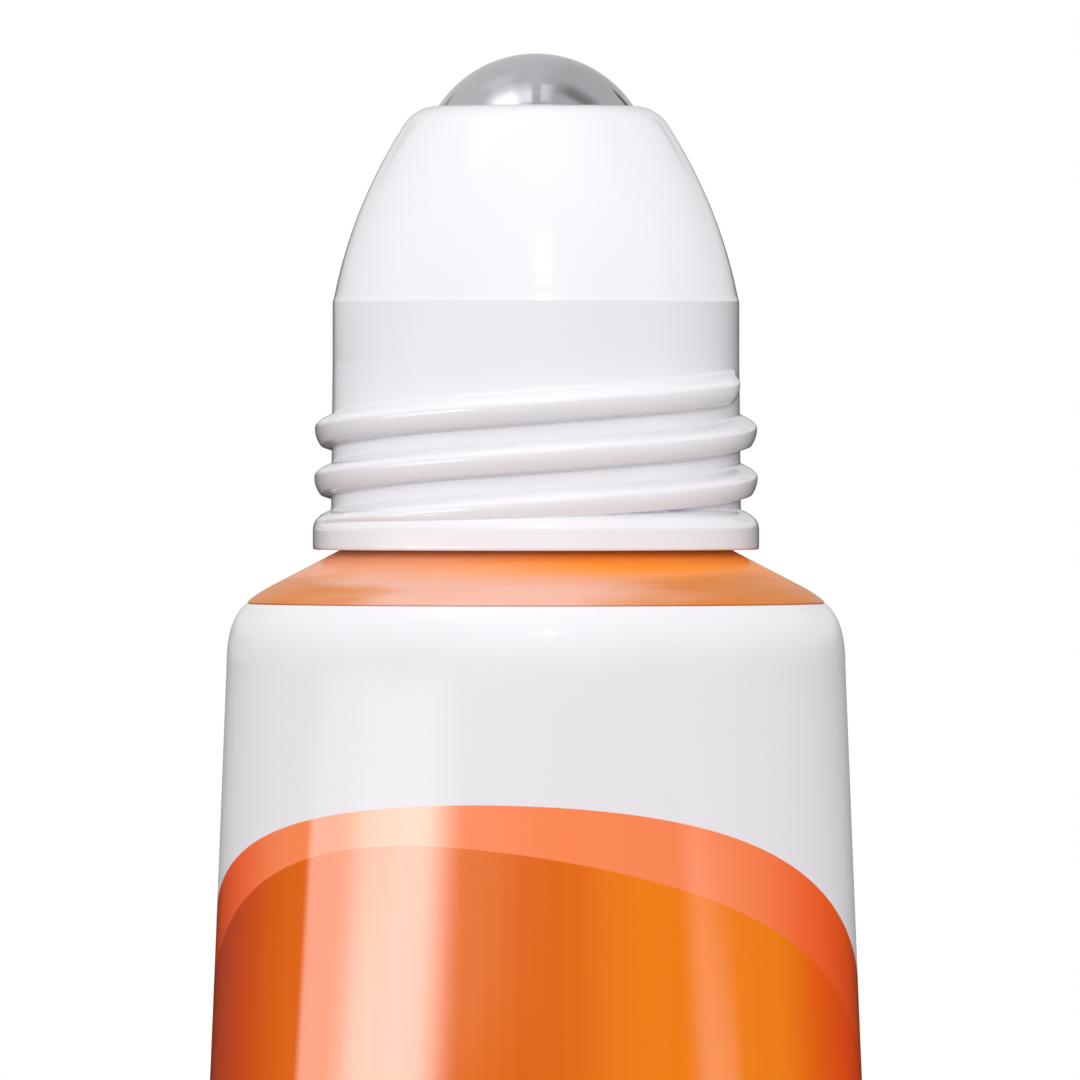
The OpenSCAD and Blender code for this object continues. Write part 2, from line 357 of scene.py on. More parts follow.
def softened(corners, steps=4):
    """An open line of (radius, height) with rounded corners. A corner may have a rounding."""
    line = []
    for i, corner in enumerate(corners):
        point = np.array(corner[:2], float)
        reach = corner[2] if len(corner) > 2 else 0
        if reach == 0 or i in (0, len(corners) - 1):
            line.append(point)
            continue
        ways = [np.array(corners[k][:2]) - point for k in (i - 1, i + 1)]
        start, end = (point + reach * way / np.linalg.norm(way) for way in ways)
        line += bend(start, point, end, steps)
    return line


def divided(line, step):
    """A line with points added, so that none is further than a step from the next."""
    out = [np.array(line[0], float)]
    for point in line[1:]:
        start, end = out[-1], np.array(point, float)
        parts = max(1, math.ceil(np.linalg.norm(end - start) / step - 1e-9))
        out += [start + (end - start) * (k + 1) / parts for k in range(parts)]
    return out


def cubic(p, t):
    """A point on a cubic curve, and the unit direction out of its left side."""
    p = np.array(p, float)
    point = ((1 - t) ** 3 * p[0] + 3 * (1 - t) ** 2 * t * p[1]
             + 3 * (1 - t) * t ** 2 * p[2] + t ** 3 * p[3])
    way = ((1 - t) ** 2 * (p[1] - p[0]) + 2 * (1 - t) * t * (p[2] - p[1])
           + t ** 2 * (p[3] - p[2]))
    way /= np.linalg.norm(way)
    return point, np.array([-way[1], way[0]])


def bend(start, pull, end, steps):
    """Points along a bend from start to end, drawn towards a pull point."""
    start, pull, end = (np.array(p, float) for p in (start, pull, end))
    return [(1 - t) ** 2 * start + 2 * (1 - t) * t * pull + t ** 2 * end
            for t in np.linspace(0, 1, steps + 1)]


def arc(centre, radius, start, end, steps):
    """Points of an arc about a centre, between two angles."""
    return [np.array(centre) + radius * np.array([math.cos(a), math.sin(a)])
            for a in np.linspace(start, end, steps + 1)]


CONE_TOP_R = 5.99 * MM
ROUND_IN = 1.4 * MM
ROUND_DROP = 1.81 * MM
ROUND_PULL = 0.78
SLEEVE_EDGE = 0.3
LEDGE_EDGE = 0.29
WELD_GAP = 0.03 * MM
SKIRT_WALL = 0.8 * MM
BEAD_DROP = 1.7 * MM


def rounding_point(sizes, t, inset):
    """A point of the rounding between the shoulder's cone and the sleeve, set in by a distance."""
    slope = math.tan(sizes.shoulder_angle)
    corner = np.array([sizes.radius, sizes.round_end + ROUND_DROP])
    start = corner + np.array([-ROUND_IN, ROUND_IN * slope])
    end = np.array([sizes.radius, sizes.round_end])
    pulls = [start + (corner - start) * ROUND_PULL, end + (corner - end) * ROUND_PULL]
    point, side = cubic([start, *pulls, end], t)
    return point - inset * side


def oval_girth(a, b):
    return math.pi * (3 * (a + b) - math.sqrt((3 * a + b) * (a + 3 * b)))


def half_width(half_depth, radius):
    """Half width of an oval that has the round tube's girth at a given half depth."""
    low, high = radius, 2 * radius
    for _ in range(40):
        middle = (low + high) / 2
        if oval_girth(middle, half_depth) < 2 * math.pi * radius:
            low = middle
        else:
            high = middle
    return (low + high) / 2


COLUMNS = 216
SEAL_STEP = 0.1 * MM
WALL_ROWS = 100
CUT_ROUNDING = 0.05 * MM
ROLLED_ROUNDING = 0.06 * MM
LATE_POWER = 2.5
BOX_POWER = 4
FOLD_GAP = 0.1 * MM
LAP_STEP = 0.05 * MM
LAP_REACH = 1.4 * MM
LAP_TURNS = (176.6, 176.9)
SEAL_MARGIN = 1.4 * MM


def sleeve_turns():
    """Angles of the sleeve's columns from the front, closer together at the lap at the back."""
    even = np.arange(COLUMNS) * 360 / COLUMNS - 180
    return np.radians(np.sort(np.concatenate([even, LAP_TURNS])))


def oval(turns, half_w, half_d, power, z):
    """One ring of the sleeve, from the back by the left, the front and the right."""
    c = np.cos(turns)
    depth = half_d * np.sign(c) * np.abs(c) ** power
    return np.stack([half_w * np.sin(turns), -depth, np.full_like(turns, z)], -1)


def band_edge(turns, terms):
    """Height of a printed edge round the tube, from its mean and its waves."""
    mean, cos1, sin1, cos2, sin2 = terms
    return (mean + cos1 * np.cos(turns) + sin1 * np.sin(turns)
            + cos2 * np.cos(2 * turns) + sin2 * np.sin(2 * turns)) * MM


# Printed edges: mean height from the collar's underside, then the waves' cosines and sines for
# one and two waves round the tube, in millimetres.
PRINT_EDGES = {"above_coral": (-13.33, 6.71, -1.13, -1.06, 0.35),
               "above_orange": (-16.50, 8.76, -1.28, -1.47, -0.10)}


def sleeve_mesh(sizes):
    """The sleeve: cut edge, seal, flattened wall, rolled top edge, and the wall's inside."""
    turns = sleeve_turns()
    radius, wall, top = sizes.radius, sizes.wall, sizes.round_end
    seal_w = half_width(wall, radius)

    def seal(z, inset_w=0.0, inset_d=0.0):
        return oval(turns, seal_w - inset_w, wall - inset_d, sizes.boxiness, z)

    def flattened(s, inset):
        flat = sizes.early_share * s + (1 - sizes.early_share) * s ** LATE_POWER
        depth = radius + (wall - radius) * flat
        power = 1 + (sizes.boxiness - 1) * s ** BOX_POWER
        return oval(turns, half_width(depth, radius) - inset,
                    max(depth - inset, FOLD_GAP / 2), power,
                    top + (sizes.seal_height - top) * s)

    def rolled(t, inset):
        r, z = rounding_point(sizes, t, inset)
        return oval(turns, r, r, 1, z)

    edge, corner = CUT_ROUNDING, CUT_ROUNDING * 0.3
    rings = [seal(0.14 * MM, 0.3 * MM, wall - 0.02 * MM), seal(0, 0.24 * MM, wall - 0.07 * MM),
             seal(0, edge, edge), seal(corner, corner, corner), seal(edge)]
    cut_rows = len(rings)
    rings += [seal(z) for z in np.arange(2 * SEAL_STEP, sizes.seal_height - SEAL_STEP / 2,
                                         SEAL_STEP)]
    rings += [flattened(s, 0) for s in np.linspace(1, 0, WALL_ROWS + 1)]
    rings += [rolled(t, 0) for t in np.linspace(1, SLEEVE_EDGE + 0.02, 20)[1:]]
    outer_rows = len(rings)
    rings += [rolled(SLEEVE_EDGE + 0.006, 0.02 * MM), rolled(SLEEVE_EDGE, ROLLED_ROUNDING),
              rolled(SLEEVE_EDGE, wall - ROLLED_ROUNDING)]
    rings += [rolled(t, wall) for t in np.linspace(SLEEVE_EDGE + 0.02, 1, 8)]
    rings += [flattened(s, wall) for s in np.linspace(0, 1, WALL_ROWS // 2 + 1)[1:]]
    rings = np.array(rings)
    lap_way = (turns - math.radians(LAP_TURNS[1])) * radius
    dip = np.where(lap_way > -1e-9, np.clip(1 - lap_way / LAP_REACH, 0, 1) ** 2, 0)
    rings[cut_rows:outer_rows, :, 1] -= LAP_STEP * dip
    mesh = grid_mesh("printed_sleeve", rings)
    heights = rings[:, :, 2].ravel()
    around = np.tile(turns, len(rings))
    for key, terms in PRINT_EDGES.items():
        values = heights - COLLAR_Z - band_edge(around, terms)
        mesh.attributes.new(key, "FLOAT", "POINT").data.foreach_set(
            "value", values.astype(np.float32))
    flat = np.stack([radius * np.sin(around), -radius * np.cos(around), heights], -1)
    mesh.attributes.new("unrolled", "FLOAT_VECTOR", "POINT").data.foreach_set(
        "vector", flat.astype(np.float32).ravel())
    return mesh


def shaped(mesh, title, build, material, inputs):
    """The plain mesh that a Geometry Nodes tree makes of a mesh. The build function adds the
    tree's nodes: it takes the mesh's socket and, by their names, Values for the inputs."""
    tree = bpy.data.node_groups.new(title, "GeometryNodeTree")
    for way in ("OUTPUT", "INPUT"):
        tree.interface.new_socket("Geometry", in_out=way, socket_type="NodeSocketGeometry")
    settings = {}
    for key, value in inputs.items():
        kind = "NodeSocketInt" if isinstance(value, int) else "NodeSocketFloat"
        made = tree.interface.new_socket(key, in_out="INPUT", socket_type=kind)
        made.default_value = value
        settings[made.identifier] = value
    maker = NodeMaker(tree)
    before, *numbers = [s for s in maker.add("NodeGroupInput").outputs if s.name]
    after = build(maker, before, {s.name: Value(maker, s) for s in numbers})
    real = maker.fill("GeometryNodeRealizeInstances", after)
    coat = maker.named("GeometryNodeSetMaterial", Geometry=real, Material=material)
    maker.feed(maker.add("NodeGroupOutput").inputs[0], coat.outputs[0])

    name = mesh.name
    mesh.name = name + "_before"
    carrier = in_scene(name + "_carrier", mesh)
    modifier = carrier.modifiers.new("shape", "NODES")
    modifier.node_group = tree
    for identifier, value in settings.items():
        modifier[identifier] = value
    bpy.context.view_layer.update()
    result = bpy.data.meshes.new_from_object(
        carrier.evaluated_get(bpy.context.evaluated_depsgraph_get()))
    result.name = name
    carrier.modifiers.remove(modifier)
    bpy.data.objects.remove(carrier)
    bpy.data.meshes.remove(mesh)
    return result


def seal_ribs(maker, mesh, given):
    """Presses lines across the flat seal: the depth of each ring shrinks by a smooth wave."""
    x, y, z = maker.point_place()
    room = given["Seal height"] - given["Margin"] * 2.0
    along = (z - given["Margin"]) / room * given["Ribs"]
    part = maker.math("FRACT", along)
    wave = maker.ramp(part, 0.1, 0.3) * maker.ramp(part, 0.7, 0.9, 1.0, 0.0)
    press = wave * ((along > 0.0) * (along < given["Ribs"]))
    keep = 1.0 - press * (given["Depth"] / given["Half thickness"])
    return maker.moved(mesh, maker.join(x, y * keep, z))


def cap_thread(maker, mesh, given):
    """Raises a thread out of a turned wall. At each angle the crests lie a pitch apart, and the
    wall's radius becomes the larger of itself and the ridge's, with soft edges and roots."""
    x, y, z = maker.point_place()
    height = z - given["Collar height"]

    # A point's distance above the nearest crest, exactly and in whole rows of the mesh
    step = 2 * math.pi / given["Starts"]
    down = maker.math("FLOORED_MODULO",
                      given["Start angle"] - maker.math("ARCTAN2", y, x), step)
    first = given["Top"] - given["Pitch"] * (down / step)
    turn = maker.positive(maker.math(
        "ROUND", (first - height - given["Lower bias"]) / given["Pitch"]))
    exact = height - (first - turn * given["Pitch"])
    off = maker.math("SNAP", exact + given["Row"] * 0.5, given["Row"])

    # The crest's radius, which grows out of the wall where the thread starts
    grown = maker.math("SINE", math.pi / 2 * maker.math(
        "MINIMUM", 1.0, turn + down / given["Fade angle"]))
    full = given["Crest radius"] - given["Crest draft"] * height
    sunk = given["Sunk radius"]
    crest = sunk + grown * (full - sunk)

    # The ridge's section: a broad arc, a rounded flank above it and a straight one below
    rise = maker.positive(off - given["Crest above"]) / given["Upper reach"]
    below = maker.positive(given["Crest above"] - off)
    crest = crest - below * below / (given["Crest arc"] * 2.0)
    upper = sunk + maker.positive(1.0 - rise * rise) * (crest - sunk)
    lower = given["Root radius"] + given["Lower slope"] * (off + given["Lower edge"])
    ridge = maker.math("SMOOTH_MIN", upper, lower, given["Lower softness"])
    ridge = ridge - maker.ramp(height, given["Sink low"], given["Sink high"],
                               given["Collar sink"], 0.0)

    radius = maker.radius(x, y)
    foot = maker.ramp(off, given["Foot low"], given["Foot high"], given["Sharp foot"], 1.0)
    raised = maker.math("SMOOTH_MAX", radius, ridge, given["Root softness"] * foot)
    grow = raised / radius

    # Rows near a ridge slide to its slant, so that its edges run along the mesh
    slide = (maker.ramp(ridge - radius, given["Slide far"], given["Slide near"])
             * maker.ramp(height, given["Slide low"], given["Slide high"]))
    on_wall = (radius > given["Wall radius"]) * (height < given["Zone top"])
    place = maker.join(x * grow, y * grow, z + (off - exact) * slide)
    return maker.moved(mesh, place, on_wall)


def spline_grooves(maker, mesh, given):
    """Hollows upright grooves out of a bore, where the neck's ribs slide in. Each is part of a
    small circle about a point on the neck's outside."""
    x, y, z = maker.point_place()
    step = 2 * math.pi / given["Grooves"]
    turn = maker.math("ARCTAN2", y, x)
    off = turn - step * maker.math("ROUND", turn / step)
    across = given["Neck radius"] * maker.math("SINE", off)
    depth = maker.math("POWER", given["Groove radius"], 2.0) - across * across
    radius = maker.radius(x, y)
    wide = (given["Neck radius"] * maker.math("COSINE", off)
            + maker.math("SQRT", maker.positive(depth)))
    grow = maker.math("MAXIMUM", radius, wide) / radius
    on_bore = (depth > 0.0) * maker.math("COMPARE", radius, given["Bore radius"],
                                         given["Bore margin"])
    return maker.moved(mesh, maker.join(x * grow, y * grow, z),
                       on_bore * (z < given["Groove top"]))


def neck_ribs(maker, mesh, given):
    """Joins a ring of upright ribs to a moulding: one rod is copied round a circle of points."""
    circle = maker.named("GeometryNodeMeshCircle", Vertices=given["Ribs"],
                         Radius=given["Neck radius"])
    rod = maker.named("GeometryNodeMeshCylinder", Vertices=given["Rib sides"],
                      Radius=given["Rib radius"], Depth=given["Rib length"])
    lift = maker.named("GeometryNodeTransform", Geometry=rod.outputs["Mesh"],
                       Translation=maker.join(0.0, 0.0, given["Rib middle"]))
    copies = maker.named("GeometryNodeInstanceOnPoints", Points=circle.outputs[0],
                         Instance=lift.outputs[0])
    both = maker.add("GeometryNodeJoinGeometry")
    for part in (copies.outputs[0], mesh):
        maker.feed(both.inputs[0], part)
    return both.outputs[0]


PRINT_BLUR = 0.02 * MM
BRUSH_MARK = (1.0, 0.33, 0.03)


def print_material(colours):
    """The sleeve's gloss laminate: white, a coral band, and brushed metallic orange below."""
    material, maker = new_material("gloss_laminate_print")

    def attribute(name, output):
        return maker.add("ShaderNodeAttribute", attribute_name=name).outputs[output]

    white = maker.ramp(attribute("above_coral", "Fac"), -PRINT_BLUR, PRINT_BLUR)
    plain = maker.ramp(attribute("above_orange", "Fac"), -PRINT_BLUR, PRINT_BLUR)
    foiled = 1.0 - plain
    spot = attribute("unrolled", "Vector")
    streaks = maker.noise(maker.stretch(spot, (1.0, 1.0, 0.012)), 900.0, 4.0, 0.6)
    wide = maker.noise(maker.stretch(spot, (1.0, 1.0, 0.02)), 160.0, 2.0)
    across, _, _ = maker.split(spot)

    # Painted highlight: the foil is lighter right of the middle, with wide random bands; painted
    # shade: redder and darker towards its sides
    lit = (maker.ramp(across, 0.5 * MM, 3.5 * MM)
           * maker.ramp(across, 7.0 * MM, 9.4 * MM, 1.0, 0.0))
    lit = lit * 0.85 + maker.ramp(wide, 0.3, 0.7, 0.0, 0.15)
    red, green, blue = colours.orange
    foil = maker.blend(lit, (0.8 * red, 0.59 * green, blue), colours.orange)
    foil = maker.blend(maker.ramp(streaks, 0.3, 0.75, 0.0, 0.14), foil, BRUSH_MARK)
    # Painted shade: deeper red towards both sides
    foil = maker.blend(maker.ramp(maker.math("ABSOLUTE", across), 7.0 * MM, 9.3 * MM), foil,
                       (red, 0.38 * green, 0.0))
    # Painted shade: darker towards the left side
    foil = maker.blend(maker.ramp(across, -9.3 * MM, -7.0 * MM, 0.35, 0.0), foil, BLACK)

    # Painted shade: the coral is redder and darker towards both sides
    sides = (maker.ramp(across, 5.5 * MM, 9.3 * MM)
             + maker.ramp(across, -9.3 * MM, -7.4 * MM, 1.0, 0.0))
    red, green, blue = colours.coral
    coral = maker.blend(sides, colours.coral, (red, 0.42 * green, 0.1 * blue))

    peel = maker.noise(spot, 700.0, 2.0)
    maker.surface(
        Base_Color=maker.blend(white, maker.blend(plain, foil, coral), colours.white),
        Metallic=foiled * 0.08, Roughness=0.2 + foiled * 0.08 + streaks * 0.06,
        Normal=maker.bump(peel * 0.15 + streaks * foiled, 0.08, 0.02 * MM),
        Specular_IOR_Level=0.17, Coat_Weight=maker.ramp(white, 0.0, 1.0, 0.8, 0.1),
        Coat_Roughness=0.06, Coat_IOR=2.0)
    return material


def shoulder_material(colours):
    """Glossy pearl orange plastic with fine turned rings. Painted highlights make paler fans at the
    front and the back of the cone's outer part and a paler zone towards the left near the neck,
    and painted shade makes the outer part darker."""
    material, maker = new_material("pearl_orange_plastic")
    x, y, _ = maker.split(maker.object_place())
    radius = maker.radius(x, y)
    turned = maker.join(x * 0.04, y * 0.04, radius)
    rings = maker.noise(turned, 6000.0, 3.0, 0.6)
    flow = maker.noise(maker.stretch(turned, (4.0, 4.0, 1.0)), 1500.0, 3.0)
    side = x + maker.ramp(flow, 0.2, 0.8, -1.0 * MM, 1.0 * MM)
    out = maker.ramp(radius + maker.ramp(flow, 0.2, 0.8, -0.35 * MM, 0.35 * MM),
                     6.8 * MM, 8.3 * MM)
    # Painted highlight: paler fans at the front and the back, on the cone's outer part
    painted_fan_highlight = (maker.ramp(side, -6.8 * MM, -4.2 * MM, 0.0, 0.95)
           * maker.ramp(side, 0.5 * MM, 5.5 * MM, 0.95, 0.0))
    # Painted highlight: paler towards the left on the inner part of the cone
    painted_left_highlight = maker.ramp(side, -5.0 * MM, 2.5 * MM, 0.5, 0.0)
    # The pearl mask holds the painted highlights and the turned rings' random tone
    pearl = painted_fan_highlight * out + painted_left_highlight * (1.0 - out) + maker.ramp(rings, 0.4, 0.8, 0.0, 0.12)
    # Painted shade: the cone's outer part is darker
    plain = maker.blend(out, colours.shoulder, darker(colours.shoulder, 0.68))
    maker.surface(Base_Color=maker.blend(pearl, plain, colours.pearl),
                  Roughness=maker.ramp(rings, 0.2, 0.8, 0.3, 0.38),
                  Normal=maker.bump(rings, 0.2, 0.02 * MM), Specular_IOR_Level=0.15,
                  Coat_Weight=0.12, Coat_Roughness=0.05, Coat_IOR=1.7)
    return material


def moulded_material(name, colour, roughness, coat):
    """Moulded plastic with faint flow marks and a hint of unevenness in its gloss."""
    material, maker = new_material(name)
    place = maker.object_place()
    flow = maker.noise(maker.stretch(place, (1.0, 1.0, 0.4)), 260.0, 3.0)
    grain = maker.noise(place, 2600.0, 2.0)
    maker.surface(
        Base_Color=maker.blend(maker.ramp(flow, 0.3, 0.7), darker(colour, 0.985), colour),
        Roughness=maker.ramp(flow, 0.2, 0.8, roughness - 0.02, roughness + 0.02),
        Normal=maker.bump(flow + grain * 0.2, 0.06, 0.02 * MM),
        Specular_IOR_Level=0.25, Coat_Weight=coat, Coat_Roughness=0.05, Coat_IOR=1.5)
    return material


def steel_material(colours):
    """Polished steel with fine scratches that run every way."""
    material, maker = new_material("polished_steel")
    place = maker.object_place()
    first = maker.noise(maker.stretch(place, (1.0, 0.06, 0.3)), 7000.0, 2.0)
    second = maker.noise(maker.stretch(place, (0.05, 1.0, 0.4)), 6000.0, 2.0)
    marks = maker.math("MAXIMUM", first, second)
    tone = maker.blend(maker.ramp(marks, 0.5, 0.8), colours.steel, darker(colours.steel, 0.93))
    maker.surface(Base_Color=tone, Metallic=1.0,
                  Roughness=maker.ramp(marks, 0.4, 0.8, 0.04, 0.09),
                  Normal=maker.bump(marks, 0.03, 0.004 * MM))
    return material


class ROLLON_OT_printed_sleeve(Operator):
    """Build the printed sleeve with its flat, ribbed seal"""

    bl_idname = "rollon.printed_sleeve"
    bl_label = "Printed sleeve"

    def execute(self, context):
        sizes = context.scene.rollon_tube
        material = print_material(context.scene.rollon_colours)
        mesh = shaped(sleeve_mesh(sizes), "Seal ribs", seal_ribs, material, {
            "Seal height": sizes.seal_height, "Margin": SEAL_MARGIN, "Ribs": sizes.rib_count,
            "Depth": sizes.rib_depth, "Half thickness": sizes.wall})
        sleeve = finished(mesh, material, 50)
        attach(sleeve, "tube")
        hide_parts("tube_sleeve")
        return {"FINISHED"}


def shoulder_outline(sizes):
    """The shoulder's closed section, upwards on the outside: skirt, cone, neck and bore."""
    slope = math.tan(sizes.shoulder_angle)
    drop = sizes.shoulder_wall / math.cos(sizes.shoulder_angle)
    skirt_r = sizes.radius - sizes.wall - WELD_GAP - SKIRT_WALL
    neck, bore, mouth = sizes.neck_radius, sizes.neck_bore, COLLAR_Z + sizes.neck_height
    bead_r, bead_z = neck + 0.2 * MM, mouth - BEAD_DROP

    def cone(r):
        return COLLAR_Z + (CONE_TOP_R - r) * slope

    under = [rounding_point(sizes, t, sizes.wall + WELD_GAP)
             for t in np.linspace(1, LEDGE_EDGE, 12)]
    ledge = [rounding_point(sizes, LEDGE_EDGE, inset)
             for inset in (0.05 * MM, 0.012 * MM)]
    shown = [rounding_point(sizes, t, 0) for t in np.linspace(LEDGE_EDGE - 0.015, 0, 10)]
    neck_side = softened([
        (*shown[-1],), (neck, cone(neck), 0.25 * MM), (neck, bead_z, 0.05 * MM),
        (bead_r, bead_z, 0.05 * MM), (bead_r, bead_z + 0.1 * MM, 0.04 * MM),
        (neck, bead_z + 0.6 * MM, 0.05 * MM), (neck, mouth, 0.25 * MM),
        (bore, mouth, 0.08 * MM), (bore, cone(bore) - drop, 0.3 * MM),
        (skirt_r, cone(skirt_r) - drop, 0.4 * MM), (skirt_r, sizes.round_end)])
    return under + ledge + shown + neck_side[1:]


RIB_COUNT = 8
RIB_R = 0.3 * MM
RIB_FOOT = 0.4 * MM
RIB_TOP = 2.9 * MM
SHOULDER_COLUMNS = 256


class ROLLON_OT_orange_shoulder(Operator):
    """Build the moulded shoulder with its neck, snap bead and ribs"""

    bl_idname = "rollon.orange_shoulder"
    bl_label = "Orange shoulder"

    def execute(self, context):
        sizes = context.scene.rollon_tube
        material = shoulder_material(context.scene.rollon_colours)
        mesh = lathe("orange_shoulder", shoulder_outline(sizes), SHOULDER_COLUMNS)
        low, high = COLLAR_Z + RIB_FOOT, COLLAR_Z + RIB_TOP
        mesh = shaped(mesh, "Neck ribs", neck_ribs, material, {
            "Ribs": RIB_COUNT, "Rib sides": 24, "Neck radius": sizes.neck_radius,
            "Rib radius": RIB_R, "Rib length": high - low, "Rib middle": (high + low) / 2})
        shoulder = finished(mesh, material, 40)
        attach(shoulder, "tube")
        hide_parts("tube_shoulder")
        return {"FINISHED"}


SOCKET_GAP = 0.05 * MM
PUSH_GAP = 0.05 * MM
HEAD_COLUMNS = 240
THREAD_ROW = 0.03 * MM
THREAD_ZONE = 5.75 * MM
COLLAR_BORE = 6.02 * MM
COLLAR_EDGE = 0.09 * MM
CROWN_FOOT = 0.6 * MM
CROWN_CORNER = 1.0 * MM
CROWN_TOP = 1.22 * MM
LAND_TOP = 7.64 * MM
DOME_INSET = 0.03 * MM
DOME_CORNER = (3.98 * MM, 0.47 * MM)
LIP_PULL = (3.62 * MM, 0.02 * MM)
SNAP_ROOM = 0.05 * MM
SEAT_DROPS = (1.35 * MM, 2.45 * MM, 3.45 * MM)

# The thread's section in millimetres. Across it, lengths are counted up from a crest's middle.
# The foot is sharp below a ridge and soft above it. The ridge sinks into the collar between the
# sink heights, and the mesh slides to its slant near its surface and above the slide heights.
THREAD_SECTION = {
    "Crest above": 0.1, "Crest arc": 0.77, "Upper reach": 0.49, "Lower edge": 0.51,
    "Lower bias": -0.1, "Lower softness": 0.1, "Root softness": 0.2, "Foot low": -0.1,
    "Foot high": 0.1, "Sink low": 0.3, "Sink high": 1.0, "Collar sink": 0.4,
    "Slide far": -0.5, "Slide near": -0.32, "Slide low": 0.7, "Slide high": 1.1,
    "Wall radius": 6.1,
}


def head_outline(head, tube):
    """The head's closed section: collar, root, land, dome and lip, then socket and bore."""
    collar, rim = COLLAR_Z, HEAD_BOX[1].z
    socket = BALL_R + SOCKET_GAP
    lip_angle = math.asin((rim - BALL_Z) / socket)
    lip = (socket * math.cos(lip_angle), rim)
    slope = math.tan(tube.shoulder_angle)

    crown = bend((head.collar_radius, collar + CROWN_FOOT),
                 (head.collar_radius, collar + CROWN_CORNER),
                 (head.root_radius, collar + CROWN_TOP), 12)
    wall = softened([(COLLAR_BORE, collar), (head.collar_radius, collar, COLLAR_EDGE),
                     crown[0]])[:-1] + crown
    land = head.land_radius
    wall += [(land, collar + THREAD_ZONE), (land, collar + LAND_TOP - 0.04 * MM),
             (land - 0.012 * MM, collar + LAND_TOP)]
    wall = divided(wall, THREAD_ROW)

    foot = np.array([land - DOME_INSET, collar + head.dome_foot])
    corner = np.array([DOME_CORNER[0], rim - DOME_CORNER[1]])
    way = corner - foot
    reach = math.sqrt(head.dome_arc ** 2 - (np.linalg.norm(way) / 2) ** 2)
    centre = (foot + corner) / 2 + reach * np.array([-way[1], way[0]]) / np.linalg.norm(way)
    start, end = (math.atan2(*(p - centre)[::-1]) for p in (foot, corner))
    dome = arc(centre, head.dome_arc, start, end, 60)
    lips = bend(corner, (LIP_PULL[0], rim - LIP_PULL[1]), lip, 14)
    cup = arc((0, BALL_Z), socket, lip_angle, 0, 12)

    bore, groove = tube.neck_radius + PUSH_GAP, tube.neck_radius + 0.25 * MM
    rib_end = collar + RIB_TOP + PUSH_GAP
    bead = collar + tube.neck_height - BEAD_DROP
    seat_r = socket + 0.48 * MM
    seat_top, seat_low, cone_low = (BALL_Z - drop for drop in SEAT_DROPS)
    inside = softened([
        (socket, seat_top), (seat_r, seat_top), (seat_r, seat_low, 0.1 * MM),
        (bore, cone_low, 0.1 * MM), (bore, bead + 0.65 * MM), (groove, bead + 0.6 * MM),
        (groove, bead - SNAP_ROOM), (bore, bead - SNAP_ROOM), (bore, rib_end),
        (bore, rib_end - 0.01 * MM), (bore, collar + (COLLAR_BORE - bore) * slope)])
    return wall + dome[1:] + lips[1:] + cup[1:] + inside


class ROLLON_OT_roller_head(Operator):
    """Build the white head with its two-start thread"""

    bl_idname = "rollon.roller_head"
    bl_label = "Roller head"

    def execute(self, context):
        head, tube = context.scene.rollon_head, context.scene.rollon_tube
        material = moulded_material("white_polypropylene", context.scene.rollon_colours.head,
                                    0.24, 1.0)
        mesh = lathe("white_roller_head", head_outline(head, tube), HEAD_COLUMNS)
        mesh = shaped(mesh, "Cap thread", cap_thread, material, {
            "Collar height": COLLAR_Z, "Starts": head.starts, "Pitch": head.pitch,
            "Top": head.thread_top, "Start angle": head.start_angle,
            "Fade angle": head.fade_angle, "Crest radius": head.crest_radius,
            "Crest draft": 0.012, "Sunk radius": head.root_radius - 0.3 * MM,
            "Root radius": head.root_radius, "Lower slope": 4.0, "Sharp foot": 0.06,
            "Row": THREAD_ROW, "Zone top": THREAD_ZONE,
            **{key: length * MM for key, length in THREAD_SECTION.items()}})
        mesh = shaped(mesh, "Spline grooves", spline_grooves, material, {
            "Grooves": RIB_COUNT, "Neck radius": tube.neck_radius,
            "Bore radius": tube.neck_radius + PUSH_GAP, "Bore margin": 0.01 * MM,
            "Groove radius": RIB_R + PUSH_GAP,
            "Groove top": COLLAR_Z + RIB_TOP + PUSH_GAP - 0.005 * MM})
        made = finished(mesh, material, 80)
        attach(made, "tube")
        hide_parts("roller_housing")
        return {"FINISHED"}


class ROLLON_OT_ball_seat(Operator):
    """Finish the ball's seat, which the CAD model already shapes in full"""

    bl_idname = "rollon.ball_seat"
    bl_label = "Ball seat"

    def execute(self, context):
        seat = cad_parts["ball_seat"]
        material = moulded_material("milky_polyethylene", context.scene.rollon_colours.seat,
                                    0.38, 0.0)
        seat.data.materials.clear()
        seat.data.materials.append(material)
        return {"FINISHED"}


BALL_CUTS = 39


class ROLLON_OT_steel_ball(Operator):
    """Build the polished ball as an even quad sphere without poles"""

    bl_idname = "rollon.steel_ball"
    bl_label = "Steel ball"

    def execute(self, context):
        work = bmesh.new()
        bmesh.ops.create_cube(work, size=2)
        bmesh.ops.subdivide_edges(work, edges=work.edges[:], cuts=BALL_CUTS,
                                  use_grid_fill=True)
        for v in work.verts:
            even = Vector([math.tan(c * math.pi / 4) for c in v.co])
            v.co = Vector((0, 0, BALL_Z)) + even.normalized() * BALL_R
        mesh = bpy.data.meshes.new("polished_ball")
        work.to_mesh(mesh)
        work.free()
        ball = finished(mesh, steel_material(context.scene.rollon_colours))
        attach(ball, "ball")
        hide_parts("roller_ball")
        return {"FINISHED"}


